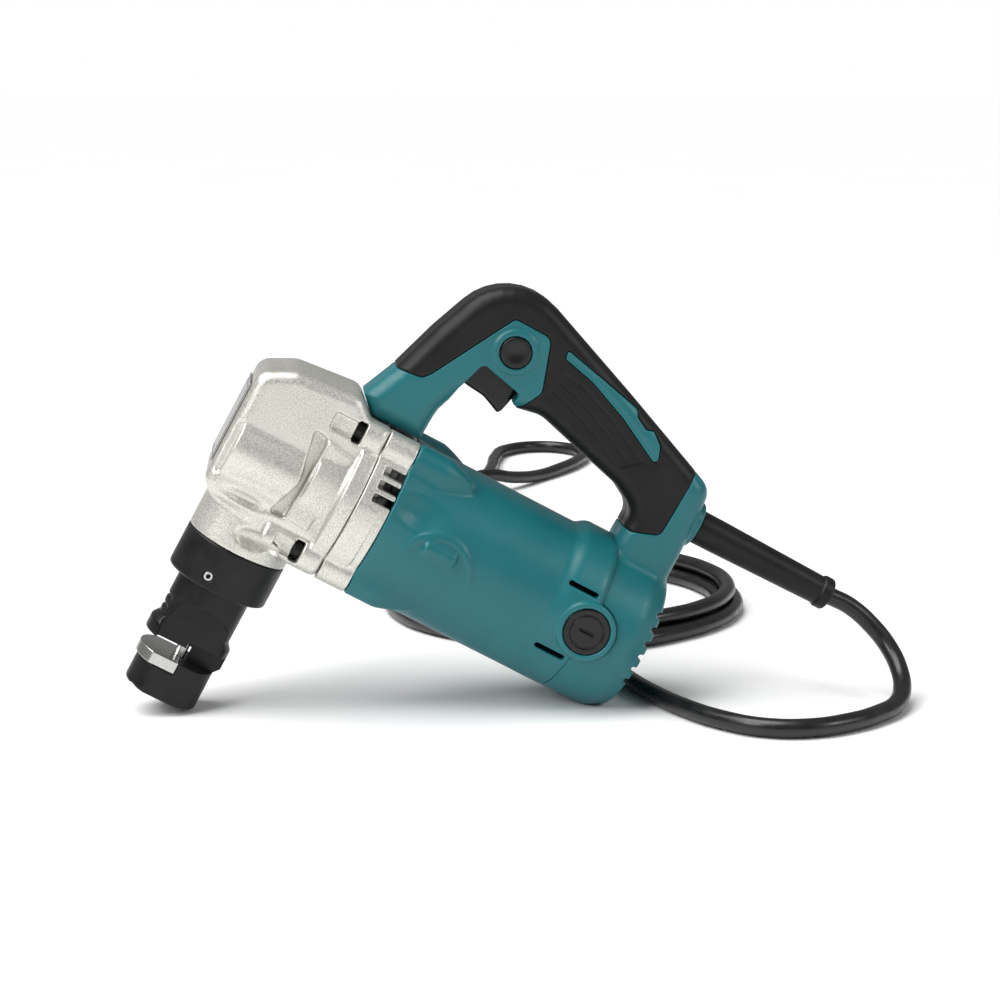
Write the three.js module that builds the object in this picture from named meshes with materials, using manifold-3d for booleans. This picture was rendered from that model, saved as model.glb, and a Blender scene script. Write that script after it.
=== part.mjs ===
// A corded sheet-metal nibbler with a D-shaped handle, standing on its die holder and rear cover.
// Millimetres. Inside the tool group x runs back along the motor's axis, y to the user's right and
// z up along the punch's axis. The group leans by TILT, so that both contacts stand on z = 0.
import * as THREE from 'three';
import { mergeVertices } from 'three/addons/utils/BufferGeometryUtils.js';
import Module from 'manifold-3d';

const wasm = await Module();
wasm.setup();

// ---- driving dimensions ----
const TILT = 28.5; // degrees, nose down
const LIFT = 124.2; // height of the tool's origin, where the motor's axis meets the punch's
const MIDDLE_X = 67.1; // the middle of the tool's length on the floor, which is the model's x = 0
const GAP = 0.3; // between pieces that touch
const ARC = THREE.MathUtils.degToRad(40); // the longest step round a corner
const ROUND = 24; // sides of the large round pieces

const FRONT_X = -31.2; // the gear housing's front face
const SPLIT_X = 38; // gear housing to bearing box
const BARREL_X = 54; // bearing box to motor housing
const COVER_X = 166.3; // motor housing to rear cover
const REAR_X = 199.5; // the rear cover's back
const BARREL_R = 40.3; // the motor housing
const WALL = 3.2; // of the plastic mouldings
const HEAD_HALF = 30; // half the gear housing's width
const NECK_R = 26;
const NECK_Z = -46.5; // the neck's lower face
const TOP_Z = 41.8; // where the handle's foot meets the castings

const BOLTS = [[-22, 34], [22, 34], [-24, -31], [24, -31]]; // y, z of the long bolts
const BOLT_R = 2.5;
const BOLT_HEAD_R = 4.5;
const BOLT_HEAD_X = 27; // the face under the heads
const BOSS_R = 8.6;

const CRANK_Z = -5;
const MIDDLE_Z = 21; // the intermediate shaft
const MODULE = 1; // of both gear pairs
const TEETH = { motorPinion: 10, middleGear: 32, middlePinion: 12, crankGear: 40 };
const BACKLASH = 0.09; // taken off each side of a tooth
const THROW = 4; // the crank pin's offset, so the stroke is 8
const PIN_R = 4.3;

const BRUSH_X = 166.6;
const CAP_R = 11.5;
const RING_R = 14.8;
const RING_Y = 42.5; // the brush rings' outer faces

const NUT_R = 26;
const NUT_TOP = -46.8;
const NUT_BOTTOM = -69;
const HOLDER_R = 19;
const HOLDER_BOTTOM = -131;
const THROAT_TOP = -103;
const DIE_TOP = -110;
const DIE_BOTTOM = -116;
const PUNCH_R = 3;
const WEB_HALF = 2.7; // the web behind the punch is narrower than the slot that it cuts
const FLAT_Y = 16; // the spanner flats
const DIE_BOLT_X = -11;
const DIE_BOLT_Y = [-9, 9];
const NUT_SEAT = -63.3; // the lock nut's ledge under the die holder's flange

const GRIP_HALF = 17.5; // half the handle's width
const SKIN = 2.4; // the rubber
const BUTTON = [74.3, 102.4];
const BUTTON_R = 7.7;
const PIVOT = [61.5, 92]; // the trigger's
const HANDLE_SCREWS = [[37, 57, 15], [50, 111, 14], [150, 85, 14], [189, 27, 26]]; // x, z, y of the heads
const GUARD_Z = 67; // the cord's way out, above the motor's axis
const CORD_R = 4.6;

// ---- materials ----
const finish = (color, roughness, metalness = 0) =>
  new THREE.MeshStandardMaterial({ color, roughness, metalness });
const aluminium = finish(0xc9c7bf, 0.45, 0.9);
const teal = finish(0x1f7d86, 0.42);
const rubber = finish(0x1c1b1a, 0.8);
const black = finish(0x111112, 0.4);
const oxide = finish(0x19191a, 0.42, 0.7);
const steel = finish(0xb9b9b5, 0.3, 1);
const gearSteel = finish(0x8d8d8a, 0.35, 1);
const copper = finish(0xa8622e, 0.4, 1);
const lamination = finish(0x55565a, 0.5, 0.9);
const carbon = finish(0x202022, 0.7);
const brass = finish(0xb08a3c, 0.35, 1);
const bronze = finish(0x8f6b3a, 0.5, 0.9);
const inner = finish(0x2b2b2d, 0.6);
const cordBlack = finish(0x131313, 0.5);

// ---- shapes to solids ----
// A closed geometry as a solid, facing out.
function solid(geometry) {
  const plain = geometry.clone();
  plain.deleteAttribute('normal');
  plain.deleteAttribute('uv');
  const merged = mergeVertices(plain, 1e-3);
  const place = merged.attributes.position.array;
  const corner = (i) => new THREE.Vector3().fromArray(place, 3 * i);
  const faces = [];
  let volume = 0;
  for (let i = 0; i < merged.index.count; i += 3) {
    const [a, b, c] = merged.index.array.slice(i, i + 3);
    if (a === b || b === c || c === a) continue;
    faces.push([a, b, c]);
    volume += corner(a).dot(corner(b).cross(corner(c)));
  }
  const triVerts = new Uint32Array(faces.flatMap(([a, b, c]) => (volume < 0 ? [a, c, b] : [a, b, c])));
  const mesh = new wasm.Mesh({ numProp: 3, vertProperties: new Float32Array(place), triVerts });
  mesh.merge();
  return new wasm.Manifold(mesh);
}

const join = (...solids) => solids.reduce((whole, s) => whole.add(s));
const cut = (whole, ...tools) => tools.reduce((rest, t) => rest.subtract(t), whole);

function mesh(name, shape, material) {
  const { vertProperties, triVerts, numProp } = shape.getMesh();
  const place = new Float32Array((vertProperties.length / numProp) * 3);
  for (let i = 0; i < place.length / 3; i += 1) {
    for (let k = 0; k < 3; k += 1) place[3 * i + k] = vertProperties[numProp * i + k];
  }
  const geometry = new THREE.BufferGeometry();
  geometry.setAttribute('position', new THREE.BufferAttribute(place, 3));
  geometry.setIndex(new THREE.BufferAttribute(new Uint32Array(triVerts), 1));
  geometry.computeVertexNormals();
  const piece = new THREE.Mesh(geometry, material);
  piece.name = name;
  return piece;
}

// The points of the outline through corners [x, z, radius], with each radius as an arc.
function rounded(corners) {
  const points = [];
  corners.forEach(([x, z, radius = 0], i) => {
    const here = new THREE.Vector2(x, z);
    const into = here.clone().sub(new THREE.Vector2(...corners.at(i - 1).slice(0, 2))).normalize();
    const next = corners[(i + 1) % corners.length];
    const onward = new THREE.Vector2(next[0], next[1]).sub(here).normalize();
    const turn = Math.atan2(into.cross(onward), into.dot(onward));
    if (!radius || Math.abs(turn) < 0.02) {
      points.push(here);
      return;
    }
    const start = here.clone().addScaledVector(into, -radius * Math.tan(Math.abs(turn) / 2));
    const side = new THREE.Vector2(-into.y, into.x).multiplyScalar(Math.sign(turn) * radius);
    const centre = start.clone().add(side);
    const steps = Math.ceil(Math.abs(turn) / ARC - 0.01);
    for (let k = 0; k <= steps; k += 1) {
      points.push(start.clone().rotateAround(centre, (turn * k) / steps));
    }
  });
  return points;
}

// The corners of a clockwise outline, moved in by a distance, with the radii kept true.
function inset(corners, distance) {
  const moved = [];
  corners.forEach(([x, z, radius = 0], i) => {
    const here = new THREE.Vector2(x, z);
    const into = here.clone().sub(new THREE.Vector2(...corners.at(i - 1).slice(0, 2))).normalize();
    const next = corners[(i + 1) % corners.length];
    const onward = new THREE.Vector2(next[0], next[1]).sub(here).normalize();
    const turn = into.cross(onward);
    const normal = new THREE.Vector2(into.y + onward.y, -into.x - onward.x).normalize();
    const stretch = distance / Math.max(0.35, normal.dot(new THREE.Vector2(into.y, -into.x)));
    const corner = here.addScaledVector(normal, stretch);
    moved.push([corner.x, corner.y, radius ? Math.max(0.6, radius + Math.sign(turn) * distance) : 0]);
  });
  return moved;
}

// An outline in x and z, as thick as y0 to y1. Its edges are quarter rounds, width in the outline's
// plane by depth along y.
function slab(corners, y0, y1, width = 0, depth = width, rings = 2) {
  const layers = [];
  for (let k = width ? 0 : rings; k <= rings; k += 1) {
    const angle = (Math.PI / 2) * (k / rings);
    layers.push([y0 + depth * (1 - Math.cos(angle)), width * (1 - Math.sin(angle))]);
  }
  layers.push(...layers.map(([y, distance]) => [y0 + y1 - y, distance]).reverse());
  const loops = layers.map(([, distance]) => rounded(distance ? inset(corners, distance) : corners));
  const count = loops[0].length;
  const place = loops.flatMap((loop, j) => loop.flatMap((p) => [p.x, layers[j][0], p.y]));
  const index = [];
  for (let j = 0; j + 1 < loops.length; j += 1) {
    for (let i = 0; i < count; i += 1) {
      const [a, b] = [j * count + i, j * count + ((i + 1) % count)];
      index.push(a, b, b + count, a, b + count, a + count);
    }
  }
  const last = (loops.length - 1) * count;
  const way = Math.sign(THREE.ShapeUtils.area(loops[0]));
  THREE.ShapeUtils.triangulateShape(loops[0], []).forEach(([a, b, c]) => {
    const same = Math.sign(THREE.ShapeUtils.area([a, b, c].map((i) => loops[0][i]))) === way;
    const [p, q] = same ? [c, b] : [b, c];
    index.push(a, p, q, last + a, last + q, last + p);
  });
  const geometry = new THREE.BufferGeometry();
  geometry.setAttribute('position', new THREE.Float32BufferAttribute(place, 3));
  geometry.setIndex(index);
  return solid(geometry);
}

const box = (x0, x1, y0, y1, z0, z1) =>
  solid(new THREE.BoxGeometry(x1 - x0, y1 - y0, z1 - z0)
    .translate((x0 + x1) / 2, (y0 + y1) / 2, (z0 + z1) / 2));

// Solids of revolution: profile points are [radius, place along the axis].
function turned(profile, sides) {
  return new THREE.LatheGeometry(profile.map(([r, t]) => new THREE.Vector2(r, t)), sides);
}
const turnedX = (profile, y = 0, z = 0, sides = 20) =>
  solid(turned(profile, sides).rotateZ(-Math.PI / 2).translate(0, y, z));
const turnedY = (profile, x = 0, z = 0, sides = 20) =>
  solid(turned(profile, sides).translate(x, 0, z));
const turnedZ = (profile, x = 0, y = 0, sides = 20) =>
  solid(turned(profile, sides).rotateX(Math.PI / 2).translate(x, y, 0));
const rod = (r, t0, t1) => [[0, t0], [r, t0], [r, t1], [0, t1]];
const ring = (r0, r1, t0, t1) => [[r0, t0], [r1, t0], [r1, t1], [r0, t1], [r0, t0]];
const rodX = (r, x0, x1, y = 0, z = 0, sides = 16) => turnedX(rod(r, x0, x1), y, z, sides);
const rodY = (r, y0, y1, x = 0, z = 0, sides = 16) => turnedY(rod(r, y0, y1), x, z, sides);
const rodZ = (r, z0, z1, x = 0, y = 0, sides = 16) => turnedZ(rod(r, z0, z1), x, y, sides);
// The same shape on both sides of the middle plane, y0 to y1 away from it.
const boxPair = (x0, x1, y0, y1, z0, z1) => join(box(x0, x1, y0, y1, z0, z1), box(x0, x1, -y1, -y0, z0, z1));
const rodPair = (r, y0, y1, x, z, sides) =>
  join(rodY(r, y0, y1, x, z, sides), rodY(r, -y1, -y0, x, z, sides));

// ---- castings ----
function boltBosses(x0, x1) {
  return BOLTS.map(([y, z]) => rodX(BOSS_R, x0, x1, y, z, 12));
}
function boltHoles(x0, x1) {
  return BOLTS.map(([y, z]) => rodX(BOLT_R + 0.4, x0, x1, y, z, 8));
}
// Everything of the castings ends under the handle's foot.
const aboveCastings = (x0, x1) => box(x0, x1, -60, 60, TOP_Z, 70);

function gearHousing() {
  const side = [
    [FRONT_X, -20, 7], [FRONT_X, 38, 8], [-15, 46.5, 12], [18.4, 50], [27, TOP_Z], [SPLIT_X, TOP_Z],
    [SPLIT_X, -27], [-24.5, -26, 7],
  ];
  const body = join(
    slab(side, -HEAD_HALF, HEAD_HALF, 6, 6, 2),
    turnedZ([[0, -57], [NECK_R - 3.4, -57], [NECK_R - 3.4, NECK_Z], [NECK_R, NECK_Z], [NECK_R, -18],
      [0, -18]], 0, 0, ROUND),
    rodX(BARREL_R + 0.7, 30, SPLIT_X, 0, 0, ROUND),
    rodX(33, 10, 31, 0, 3),
    ...boltBosses(BOLT_HEAD_X - 1, SPLIT_X),
    rodX(15, -27, 7, -19.5, 0),
    rodX(15, -27, 7, 19.5, 0),
  );
  return cut(
    body,
    aboveCastings(26.5, SPLIT_X + 1),
    box(-23, 12, -21, 21, -24, 38), // crank chamber
    box(-7, 7, -14.5, 14.5, -28, -20), // room for the yoke's foot
    rodX(16.1, 10, 30, 0, CRANK_Z, 20), // crank bearings
    rodX(22, 30, SPLIT_X + 1, 0, CRANK_Z, 20), // crank gear
    rodX(7.3, 30, SPLIT_X + 1, 0, MIDDLE_Z, 12), // intermediate pinion
    rodX(17.8, SPLIT_X - 1, SPLIT_X + 1, 0, MIDDLE_Z, 20), // intermediate gear's clearance
    rodX(5.2, 24.5, 31, 0, MIDDLE_Z, 12), // intermediate shaft's front bush
    rodZ(12.2, -58, -20, 0, 0, 20), // the slider's bush, from below
    ...boltHoles(10, SPLIT_X + 1),
    ...BOLTS.map(([y, z]) => join(
      rodX(BOLT_HEAD_R + 0.6, 8, BOLT_HEAD_X, y, z, 8),
      box(8, BOLT_HEAD_X, Math.min(y, 2 * y), Math.max(y, 2 * y), z - 5, z + 5),
    )),
  );
}

function bearingBox() {
  const x0 = SPLIT_X + GAP;
  const x1 = BARREL_X;
  return cut(
    join(rodX(BARREL_R + 0.7, x0, x1, 0, 0, ROUND), ...boltBosses(x0, x1)),
    aboveCastings(x0 - 1, x1 + 1),
    rodX(17.8, x0 - 1, 46, 0, MIDDLE_Z, 20),
    rodX(8.4, x0 - 1, 46, 0, 0, 12),
    rodX(6.2, 45, 55, 0, 0, 12),
    rodX(13.1, 47.2, 55, 0, 0, 20),
    rodX(5.2, 45, 51.5, 0, MIDDLE_Z, 12),
    turnedX(ring(16.5, 36.5, 48, 55), 0, 0, ROUND).subtract(rodX(8, 47, 56, 0, MIDDLE_Z, 12)),
    ...boltHoles(x0 - 1, x1 + 1),
    ...[24, 17.5, 11].map((z) => boxPair(43.5, x1 + 1, 24, 50, z - 2.1, z + 2.1)), // vents
  );
}

// ---- motor housing and motor ----
function motorHousing() {
  const x0 = BARREL_X + GAP;
  const shoulder = [[0, x0], [BOSS_R, x0], [BOSS_R, 72], [3, 84], [0, 84]];
  const shell = cut(
    join(
      rodX(BARREL_R, x0, COVER_X, 0, 0, ROUND),
      ...BOLTS.map(([y, z]) => turnedX(shoulder, y, z, 12)),
      rodPair(RING_R, 30, RING_Y, BRUSH_X, 0, ROUND),
    ),
    aboveCastings(x0 - 1, 56),
    rodX(36.5, x0 - 1, COVER_X + 20, 0, 0, ROUND),
    ...BOLTS.map(([y, z]) => rodX(BOLT_R + 0.4, x0 - 1, 71, y, z, 8)),
    ...[-17.5, 17.5].map((z) => boxPair(148, 164.3, 28, 46, z - 1.3, z + 1.3)), // air slots
  );
  const bridge = join(box(176.5, 180.3, -37, 37, -9, 9), rodX(13.9, 177, 187)); // holds the rear bearing
  return cut(
    join(shell, bridge),
    rodX(4.6, 170, 190),
    rodX(11.1, 180.3, 190, 0, 0, 20),
    rodY(7.3, -50, 50, BRUSH_X, 0, 16),
    rodPair(CAP_R + GAP, 38.6, 50, BRUSH_X, 0, 20),
  );
}

const stator = () => turnedX(ring(23.5, 36.1, 92, 142), 0, 0, ROUND);
const airBaffle = () => turnedX(ring(27, 36.1, 75, 78), 0, 0, ROUND);

// A bearing's two rings are one solid here, with a groove on its rear face between them.
function ballBearing(r0, r1, x0, x1) {
  const middle = (r0 + r1) / 2;
  return turnedX([
    [r0, x0], [r1, x0], [r1, x1], [middle + 1.2, x1], [middle + 1.2, x1 - 0.7], [middle - 1.2, x1 - 0.7],
    [middle - 1.2, x1], [r0, x1], [r0, x0],
  ], 0, 0, 18);
}

// A gear about x, from x0 to x1. Its flanks are flat and end on the involute at the base and the tip.
function gear(teeth, x0, x1, bore = 0, turn = 0) {
  const pressure = THREE.MathUtils.degToRad(25);
  const pitch = (MODULE * teeth) / 2;
  const base = pitch * Math.cos(pressure);
  const tip = pitch + 0.8 * MODULE;
  const root = Math.min(pitch - 1.15 * MODULE, base);
  const spread = (r) => (r <= base ? 0 : Math.sqrt((r / base) ** 2 - 1) - Math.acos(base / r));
  const half = Math.PI / (2 * teeth) - BACKLASH / pitch; // half a tooth at the pitch circle
  const points = Array.from({ length: teeth }, (_, n) => {
    const middle = turn + (2 * Math.PI * n) / teeth;
    const at = (r, a) => new THREE.Vector2(r * Math.sin(middle + a), r * Math.cos(middle + a));
    const [wide, narrow] = [half + spread(pitch), half + spread(pitch) - spread(tip)];
    return [at(root, -wide), at(tip, -narrow), at(tip, narrow), at(root, wide)];
  }).flat();
  const outline = new THREE.Shape(points);
  const geometry = new THREE.ExtrudeGeometry(outline, { depth: x1 - x0, bevelEnabled: false });
  geometry.rotateY(Math.PI / 2).rotateX(-Math.PI / 2).translate(x0, 0, 0);
  const body = solid(geometry);
  return bore ? cut(body, rodX(bore, x0 - 1, x1 + 1)) : body;
}

function armatureShaft() {
  return join(gear(TEETH.motorPinion, 39.8, 45.6), turnedX([
    [0, 45], [3.8, 45], [3.8, 46.6], [4.9, 46.6], [4.9, 54.6], [5.8, 54.6], [5.8, 175.6], [3.9, 175.6],
    [3.9, 187.6], [0, 187.6],
  ], 0, 0, 12));
}
const armatureCore = () => cut(
  turnedX(ring(6.1, 22.8, 95, 140), 0, 0, ROUND),
  ...Array.from({ length: 6 }, (_, k) => {
    const a = Math.PI * (k / 3 + 1 / 12);
    return rodX(2, 94, 141, 21.6 * Math.sin(a), 21.6 * Math.cos(a), 4);
  }),
);
const windings = (x0, x1) => turnedX(ring(6.1, 19, x0, x1));
const commutator = () => turnedX([[6.1, 157], [14.5, 157], [14.5, 159.5], [12.4, 159.5], [12.4, 174.5],
  [6.1, 174.5], [6.1, 157]], 0, 0, ROUND);

function fan() {
  const blades = Array.from({ length: 8 }, (_, k) =>
    solid(new THREE.BoxGeometry(10, 1.6, 16).translate(64, 0, 25).rotateX((Math.PI * k) / 4)));
  const disc = turnedX([[6.1, 57.5], [33.5, 57.5], [33.5, 59.5], [12, 60.5], [12, 72], [6.1, 72],
    [6.1, 57.5]]);
  return join(disc, ...blades);
}

// ---- crank, slider and punch ----
function crankshaft() {
  return join(
    rodX(PIN_R, -6, 8, 0, CRANK_Z - THROW),
    turnedX([[0, 7], [12.5, 7], [12.5, 12.4], [9, 12.4], [9, 13.3], [7.4, 13.3], [7.4, 30.6], [6, 30.6],
      [6, 37.2], [0, 37.2]], 0, CRANK_Z, 16),
  );
}

// The crank pin runs in the window of the slider's yoke.
function slider() {
  return cut(
    join(box(-5, 5, -14, 14, -26.5, 8), rodZ(8, -78, -26)),
    box(-7, 7, -9.2, 9.2, -22, 4),
    rodZ(4.4, -79, -62, 0, 0, 12),
    rodY(2.3, -12, 0, 0, -70, 8),
  );
}

const punch = () => cut(
  turnedZ([[0, -112.5], [PUNCH_R - 0.2, -112.5], [PUNCH_R, -112], [PUNCH_R, -78.5], [4, -77.5], [4, -62.3],
    [0, -62.3]], 0, 0, 16),
  rodY(2.3, -12, -2.6, 0, -70, 8),
);
const punchScrew = () => rodY(2, -7.6, -2.9, 0, -70, 8);

// ---- the working end ----
const NUT_SCREW = [-7, -62.5]; // x, z of the radial screw that locks the nut
function lockNut() {
  const body = turnedZ([
    [22.9, NUT_TOP], [NUT_R, NUT_TOP], [NUT_R, NUT_BOTTOM + 1.4], [NUT_R - 1.4, NUT_BOTTOM],
    [HOLDER_R + GAP, NUT_BOTTOM], [HOLDER_R + GAP, NUT_SEAT], [22.9, NUT_SEAT], [22.9, NUT_TOP],
  ], 0, 0, ROUND);
  return cut(body, rodY(2.6, -30, -22.6, ...NUT_SCREW, 10));
}
const lockNutScrew = () => cut(
  rodY(2.3, -24.6, -23.2, ...NUT_SCREW, 10),
  box(-9, -5, -26, -24.2, -62.9, -62.1),
);

// A flange is held up in the lock nut. Below it are the throat, which takes the sheet, and the die's seat.
function dieHolder() {
  const body = turnedZ([
    [0, HOLDER_BOTTOM], [HOLDER_R - 1.5, HOLDER_BOTTOM], [HOLDER_R, HOLDER_BOTTOM + 1.5], [HOLDER_R, -110],
    [21.6, -107], [21.6, -96.5], [HOLDER_R, -94], [HOLDER_R, NUT_SEAT + GAP], [22.2, NUT_SEAT + GAP],
    [22.2, -58], [0, -58],
  ], 0, 0, ROUND);
  const pocket = rodPair(17.3, 10.2, 30, 1.5, -97, 20).subtract(box(-40, 40, -40, 40, -140, DIE_TOP));
  return cut(
    body,
    rodZ(9.2, -91, -57), // the slider's bore
    rodZ(PUNCH_R + GAP, DIE_BOTTOM - 1, -90), // the punch's bore
    rodZ(5, HOLDER_BOTTOM - 1, DIE_BOTTOM + 0.5, 0, 0, 12), // the way out for the chips
    box(-40, PUNCH_R + 1, -30, 30, DIE_TOP, THROAT_TOP),
    box(-40, 1.1, -30, 30, DIE_BOTTOM - GAP, DIE_TOP + 0.1), // the die's seat
    boxPair(1, 30, WEB_HALF, 30, DIE_TOP, THROAT_TOP + 3), // leaves the web that follows the cut
    pocket,
    boxPair(-40, 40, FLAT_Y, 30, -140, DIE_TOP + 0.1), // spanner flats
    ...[-84, -89].map((z) => box(-40, -16.6, -30, 30, z - 1, z + 1)), // thickness gauge
    ...DIE_BOLT_Y.map((y) => join(
      rodZ(2.4, -140, -115, DIE_BOLT_X, y, 8),
      rodZ(4.4, -140, -127, DIE_BOLT_X, y, 12),
    )),
  );
}

const die = () => cut(
  rodZ(20.6, DIE_BOTTOM, DIE_TOP, 0, 0, ROUND),
  box(0.8, 40, -40, 40, -140, -100),
  rodZ(PUNCH_R + 0.1, -120, -105),
  boxPair(-40, 40, FLAT_Y, 40, -140, -100),
  ...DIE_BOLT_Y.map((y) => rodZ(2.4, -120, -112, DIE_BOLT_X, y, 8)),
);
const dieBolt = () => cut(
  turnedZ([[0, -130.5], [4, -130.5], [4, -127.3], [2.05, -127.3], [2.05, -112.4], [0, -112.4]], 0, 0, 10),
  rodZ(1.7, -132, -129, 0, 0, 6),
);

// ---- handle ----
const HANDLE = [
  [18.9, 50.4], [26.3, 67, 20], [35, 94, 20], [53.8, 141.5, 32], [135, 111, 60], [178, 94, 40],
  [194.5, 87.2, 10], [196.8, 50, 20], [197, 24], [COVER_X + 1.2, 24], [163.9, 44, 8],
  [164.4, 60, 9.5], [151, 67.5, 14],
  [101, 80.6, 14], [60.4, 72.5, 8], [54.6, 60, 20], [54, 42.3], [27.2, TOP_Z + GAP],
];
const TRIGGER_BAY = [
  [57, 64], [58.2, 74], [63.3, 90.2, 3], [86, 85.2, 1.5], [85.4, 79.6, 1.5], [89.5, 77.4, 1], [89.5, 64],
];
const GRIP = [
  [10, 66], [40, 70.6, 3], [43.2, 74.4, 4], [66.6, 116.8, 3], [86.6, 116.6, 5], [95.4, 91, 4],
  [90.2, 80.5, 3], [83, 76], [86, 66], [150, 50], [160, 51, 2], [168, 50.9, 4], [181.5, 56, 4],
  [182.5, 89, 2], [190, 110], [100, 170], [20, 150],
];
const STRIP = [
  [96.4, 115.6, 1], [97.4, 110.9, 1], [114.5, 107.2, 20], [137, 98.3, 20], [164, 84.5, 2], [160, 95, 6],
  [153.6, 100.3, 2], [149.8, 98.8, 1], [143.4, 102.2, 1], [141.2, 106, 2],
].reverse();

// The handle's whole arch, moved in by a distance.
const arch = (distance, rings = 2) => slab(inset(HANDLE, distance), distance - GRIP_HALF,
  GRIP_HALF - distance, 8 - distance, 9 - distance, rings);
const throughHandle = (outline) => slab(outline, -40, 40);
const gripMask = () => throughHandle(GRIP).subtract(throughHandle(STRIP));
const triggerSlot = () => box(57.4, 89.1, -9, 9, 70, 96);
// The space on one side of the middle plane: way -1 is the left half and 1 the right half.
const half = (way) => (way < 0 ? box(0, 260, -60, -GAP / 2, -60, 160) : box(0, 260, GAP / 2, 60, -60, 160));

const rearCover = () => turnedX([
  [0, COVER_X + GAP], [BARREL_R, COVER_X + GAP], [BARREL_R, 190], [BARREL_R - 3, 197], [BARREL_R - 7, REAR_X],
  [0, REAR_X],
], 0, 0, ROUND);

// The floor's plane, as the tool sees it, trims the rear cover's lower corner to a flat foot.
function belowFloor() {
  const ground = new THREE.BoxGeometry(400, 200, 60).translate(100, 0, -30);
  ground.translate(0, 0, -LIFT).rotateY(-THREE.MathUtils.degToRad(TILT));
  return solid(ground);
}

// Each half of the handle is one moulding with its half of the rear cover.
function handleShells() {
  const outside = join(
    cut(
      join(arch(0).subtract(gripMask()), arch(SKIN + GAP)),
      throughHandle(TRIGGER_BAY),
      rodX(BARREL_R + 2 * GAP, 140, COVER_X + 3, 0, 0, ROUND), // the motor housing's place
    ),
    rearCover(),
    rodX(12, 180, 199.1, 0, GUARD_Z),
  );
  const hollow = join(
    cut(arch(SKIN + GAP + WALL, 1), box(150, 240, -30, 30, -50, 46), box(186.2, 240, -30, 30, 40, 99)),
    rodX(BARREL_R - WALL, COVER_X, REAR_X - 3, 0, 0, ROUND),
    box(168, 185, -11, 11, 30, 60),
  );
  const posts = join(...HANDLE_SCREWS.map(([x, z]) => rodY(5, -40, 40, x, z, 8))).intersect(outside);
  const whole = cut(
    join(cut(outside, hollow), posts),
    ...HANDLE_SCREWS.map(([x, z, y]) => join(rodY(1.9, -9, 40, x, z, 8), rodY(3.9, y - 3, 60, x, z, 10))),
    triggerSlot(),
    rodY(BUTTON_R + 0.35, -30, 0, ...BUTTON, 16),
    rodX(6.6, 185, 205, 0, GUARD_Z), // the cord guard's seat
    turnedX(ring(6, 9.2, 189.6, 193.4), 0, GUARD_Z, 16),
    rodPair(RING_R + GAP, 26, 60, BRUSH_X, 0, ROUND),
    boxPair(BRUSH_X, 182, 28, 37.5, -9.4, 9.4), // room for the motor housing's bridge
    ...[20, 12.8, 5.6, -1.6, -8.8, -16].map((z) => boxPair(REAR_X - 2.5, REAR_X + 1, 1, 24, z, z + 3)),
    belowFloor(),
  );
  return { left: whole.intersect(half(-1)), right: whole.intersect(half(1)) };
}

function gripSkins() {
  const skin = cut(
    arch(0).subtract(arch(SKIN)).intersect(gripMask()),
    throughHandle(inset(STRIP, -GAP)),
    throughHandle(inset(TRIGGER_BAY, -GAP)),
    triggerSlot(),
    ...HANDLE_SCREWS.map(([x, z]) => rodY(3.9, 8, 60, x, z, 10)),
  );
  return { left: skin.intersect(half(-1)), right: skin.intersect(half(1)) };
}

const trigger = () => slab([
  [58.9, 77, 1.5], [64.7, 76.2, 8], [71.6, 75.6, 8], [76.9, 73.5, 5], [81.9, 71.3, 1], [83.3, 73.3, 2],
  [84.6, 78.3, 2], [85.4, 84.6], [84, 90], [62, 97, 2],
].reverse(), -8.3, 8.3, 1.5);

const lockButton = () => turnedY([[0, -19.6], [BUTTON_R - 1, -19.6], [BUTTON_R, -18.8], [BUTTON_R, -13.6],
  [0, -13.6]], 0, 0, 16);
const handleScrew = (y) => cut(
  turnedY([[0, -8], [1.6, -8], [1.6, y - 2.7], [3.6, y - 2.7], [3.6, y], [0, y]], 0, 0, 10),
  box(-1.9, 1.9, y - 1, y + 1, -0.4, 0.4),
);
const housingBolt = () => cut(
  turnedX([[0, -5], [BOLT_HEAD_R, -5], [BOLT_HEAD_R, -GAP], [BOLT_R, -GAP], [BOLT_R, 43], [0, 43]], 0, 0, 8),
  box(-5.5, -2.5, -1.8, 1.8, -1.8, 1.8),
);
const switchBody = () => join(box(65, 97, -8.9, 8.9, 99.6, 117), box(68, 94, -4, 4, 98.4, 100));

// A wire wound about z, that rises from z = 0.
class Helix extends THREE.Curve {
  constructor(radius, turns, rise) {
    super();
    Object.assign(this, { radius, turns, rise });
  }

  getPoint(t, target = new THREE.Vector3()) {
    const a = 2 * Math.PI * this.turns * t;
    return target.set(this.radius * Math.cos(a), this.radius * Math.sin(a), this.rise * t);
  }
}

// A round bar of so many sides along a curve, with so many steps.
function alongCurve(curve, radius, sides, steps) {
  const section = new THREE.Shape(Array.from({ length: sides }, (_, k) => {
    const a = (2 * Math.PI * k) / sides;
    return new THREE.Vector2(radius * Math.cos(a), radius * Math.sin(a));
  }));
  return solid(new THREE.ExtrudeGeometry(section, { steps, extrudePath: curve, bevelEnabled: false }));
}

// ---- brush gear ----
const brushHolder = () => cut(
  rodY(6.9, 15.5, 38.2, 0, 0, 12),
  box(-3.4, 3.4, 10, 36, -4.6, 4.6),
  rodY(4.6, 35, 40, 0, 0, 8),
);
const carbonBrush = () => box(-3, 3, 12.9, 25, -4.2, 4.2);
const brushCap = () => cut(
  turnedY([[0, 38.9], [CAP_R, 38.9], [CAP_R, 41.4], [CAP_R - 0.8, 42.2], [0, 42.2]], 0, 0, 20),
  box(-4, 4, 41.2, 43, -0.7, 0.7),
);

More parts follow.
